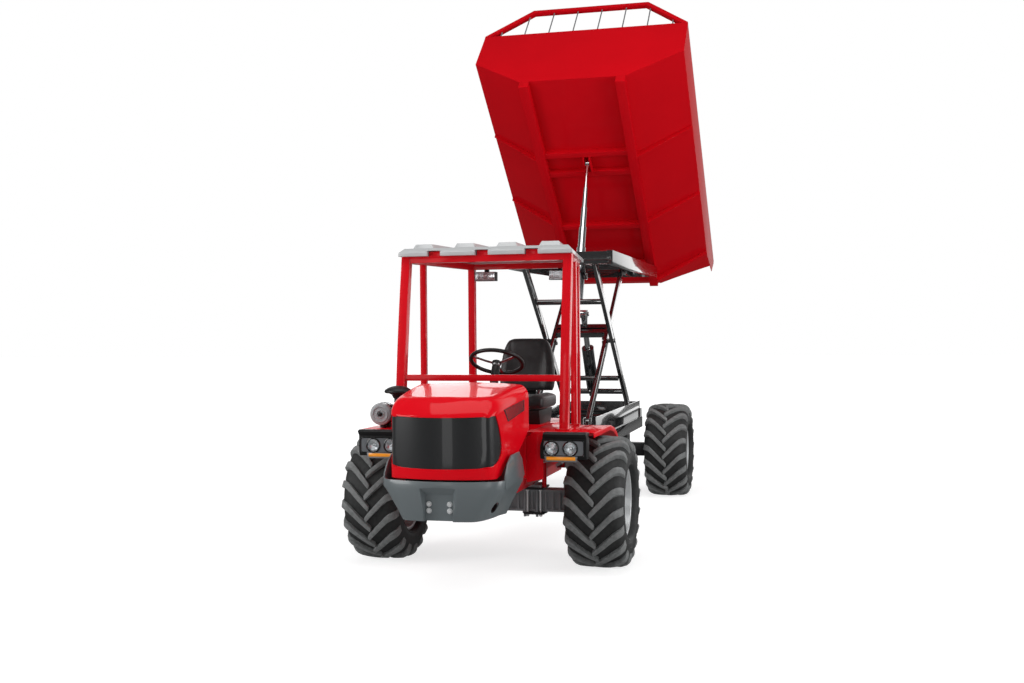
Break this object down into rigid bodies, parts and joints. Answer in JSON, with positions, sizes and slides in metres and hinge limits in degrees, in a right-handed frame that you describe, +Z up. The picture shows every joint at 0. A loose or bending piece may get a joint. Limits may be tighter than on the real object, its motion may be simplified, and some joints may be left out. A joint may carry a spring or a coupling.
{
  "type": "palm fruit transport vehicle",
  "caption": "Open-cab four-wheel carrier with a scissor frame that lifts a tipping bed for palm fruit bunches.",
  "frame": {"origin": "middle of the overall length and width, on the ground", "axes": "+X to the vehicle's left, +Y to its rear, +Z up; the vehicle faces -Y"},
  "size_m": [1.99, 7.217, 4.8095],
  "materials": {
    "red_paint": "gloss",
    "grey_paint": "satin",
    "black_paint": "satin",
    "silver_paint": "gloss",
    "cast_housing": "cast",
    "steel": "machined",
    "chrome_rod": "polished",
    "tyre_rubber": "moulded",
    "black_plastic": "moulded",
    "gloss_black": "moulded",
    "roof_plastic": "moulded",
    "seat_vinyl": "vinyl",
    "lamp_glass": "clear",
    "amber_lens": "clear",
    "iron": "cast",
    "canister": "satin"
  },
  "bodies": {
    "chassis": {"front_frame": "red_paint", "rear_frame": "black_paint", "engine_block": "iron", "front_axle": "cast_housing", "rear_axle": "iron", "drive_shaft": "steel", "bumper": "grey_paint", "cab_platform": "red_paint", "fenders": "red_paint", "headlamp_housings": "black_plastic", "headlamps": "lamp_glass", "indicators": "amber_lens", "rollover_frame": "red_paint", "roof_panel": "roof_plastic", "work_lamps": "black_plastic", "steering_column": "black_plastic", "seat_base": "black_plastic", "seat_cushion": "seat_vinyl", "seat_back": "seat_vinyl", "air_cleaner": "canister", "air_intake": "black_plastic"},
    "hood": {"hood_shell": "red_paint", "grille": "gloss_black"},
    "steer_left": {"knuckle_left": "iron"},
    "steer_right": {"knuckle_right": "iron"},
    "steering_wheel": {"steering_wheel": "black_plastic"},
    "inner_arms": {"inner_arms": "black_paint"},
    "outer_arms": {"outer_arms": "black_paint"},
    "lift_barrel": {"lift_barrel": "black_paint"},
    "lift_rod": {"lift_rod": "chrome_rod"},
    "top_frame": {"top_frame": "silver_paint"},
    "bed": {"bed_tub": "red_paint", "bed_guard": "red_paint", "bed_underframe": "red_paint"},
    "tip_barrel": {"tip_barrel": "steel"},
    "wheel_front_left": {"tyre_front_left": "tyre_rubber", "rim_front_left": "silver_paint"},
    "wheel_front_right": {"tyre_front_right": "tyre_rubber", "rim_front_right": "silver_paint"},
    "wheel_rear_left": {"tyre_rear_left": "tyre_rubber", "rim_rear_left": "silver_paint"},
    "wheel_rear_right": {"tyre_rear_right": "tyre_rubber", "rim_rear_right": "silver_paint"},
    "tip_stage_1": {"tip_stage_1": "chrome_rod"},
    "tip_stage_2": {"tip_stage_2": "chrome_rod"},
    "tip_stage_3": {"tip_stage_3": "chrome_rod"},
    "tip_stage_4": {"tip_stage_4": "chrome_rod"},
    "tip_stage_5": {"tip_stage_5": "chrome_rod"}
  },
  "joints": [
    {"name": "steer_left", "type": "hinge", "parent": "chassis", "child": "steer_left", "pos_m": [0.602, -2.3165, 0.4425], "axis": [0, 0, 1], "range_deg": [-25, 25]},
    {"name": "roll_front_left", "type": "hinge", "parent": "steer_left", "child": "wheel_front_left", "pos_m": [0.77, -2.3165, 0.4425], "axis": [1, 0, 0], "continuous": true},
    {"name": "roll_rear_left", "type": "hinge", "parent": "chassis", "child": "wheel_rear_left", "pos_m": [0.77, 1.2485, 0.4425], "axis": [1, 0, 0], "continuous": true},
    {"name": "steer_right", "type": "hinge", "parent": "chassis", "child": "steer_right", "pos_m": [-0.602, -2.3165, 0.4425], "axis": [0, 0, 1], "range_deg": [-25, 25]},
    {"name": "roll_front_right", "type": "hinge", "parent": "steer_right", "child": "wheel_front_right", "pos_m": [-0.77, -2.3165, 0.4425], "axis": [1, 0, 0], "continuous": true},
    {"name": "roll_rear_right", "type": "hinge", "parent": "chassis", "child": "wheel_rear_right", "pos_m": [-0.77, 1.2485, 0.4425], "axis": [1, 0, 0], "continuous": true},
    {"name": "steering_wheel_turn", "type": "hinge", "parent": "chassis", "child": "steering_wheel", "pos_m": [0, -2.1985, 1.382], "axis": [0, 0.4695, 0.8829], "range_deg": [-450, 450]},
    {"name": "hood_open", "type": "hinge", "parent": "chassis", "child": "hood", "pos_m": [0, -2.7945, 1.2], "axis": [-1, 0, 0], "range_deg": [0, 45]},
    {"name": "lift", "type": "hinge", "parent": "chassis", "child": "inner_arms", "pos_m": [0, -0.1865, 0.8], "axis": [1, 0, 0], "range_deg": [-32.5, 0]},
    {"name": "arms_cross", "type": "hinge", "parent": "inner_arms", "child": "outer_arms", "pos_m": [0, 0.7235, 1.5], "axis": [1, 0, 0], "range_deg": [0, 65]},
    {"name": "top_level", "type": "hinge", "parent": "outer_arms", "child": "top_frame", "pos_m": [0, -0.1865, 2.2], "axis": [1, 0, 0], "range_deg": [-32.5, 0]},
    {"name": "lift_barrel_swing", "type": "hinge", "parent": "outer_arms", "child": "lift_barrel", "pos_m": [0, 1.38138, 0.99394], "axis": [1, 0, 0], "range_deg": [0, 6.04]},
    {"name": "lift_rod_slide", "type": "slide", "parent": "lift_barrel", "child": "lift_rod", "axis": [0, -0.5298, 0.8481], "range_m": [-0.32828, 0]},
    {"name": "tip", "type": "hinge", "parent": "top_frame", "child": "bed", "pos_m": [0, 2.2835, 2.25], "axis": [1, 0, 0], "range_deg": [0, 39.6]},
    {"name": "tip_barrel_swing", "type": "hinge", "parent": "top_frame", "child": "tip_barrel", "pos_m": [0, 0.7235, 2.1], "axis": [1, 0, 0], "range_deg": [0, 8.31]},
    {"name": "tip_stage_1_slide", "type": "slide", "parent": "tip_barrel", "child": "tip_stage_1", "axis": [0, 0.3677, 0.93], "range_m": [-0.20078, 0]},
    {"name": "tip_stage_2_slide", "type": "slide", "parent": "tip_stage_1", "child": "tip_stage_2", "axis": [0, 0.3677, 0.93], "range_m": [-0.20078, 0]},
    {"name": "tip_stage_3_slide", "type": "slide", "parent": "tip_stage_2", "child": "tip_stage_3", "axis": [0, 0.3677, 0.93], "range_m": [-0.20078, 0]},
    {"name": "tip_stage_4_slide", "type": "slide", "parent": "tip_stage_3", "child": "tip_stage_4", "axis": [0, 0.3677, 0.93], "range_m": [-0.20078, 0]},
    {"name": "tip_stage_5_slide", "type": "slide", "parent": "tip_stage_4", "child": "tip_stage_5", "axis": [0, 0.3677, 0.93], "range_m": [-0.20078, 0]}
  ],
  "couplings": [
    {"joint": "steer_right", "follows": "steer_left", "ratio": 1},
    {"joint": "steering_wheel_turn", "follows": "steer_left", "ratio": 18},
    {"joint": "arms_cross", "follows": "lift", "ratio": -2},
    {"joint": "top_level", "follows": "lift", "ratio": 1},
    {"joint": "lift_barrel_swing", "follows": "lift", "ratio": -0.18566},
    {"joint": "lift_rod_slide", "follows": "lift", "m_per_rad": 0.57839},
    {"joint": "tip_barrel_swing", "follows": "tip", "ratio": 0.2095},
    {"joint": "tip_stage_1_slide", "follows": "tip", "m_per_rad": -0.29022},
    {"joint": "tip_stage_2_slide", "follows": "tip", "m_per_rad": -0.29022},
    {"joint": "tip_stage_3_slide", "follows": "tip", "m_per_rad": -0.29022},
    {"joint": "tip_stage_4_slide", "follows": "tip", "m_per_rad": -0.29022},
    {"joint": "tip_stage_5_slide", "follows": "tip", "m_per_rad": -0.29022}
  ]
}
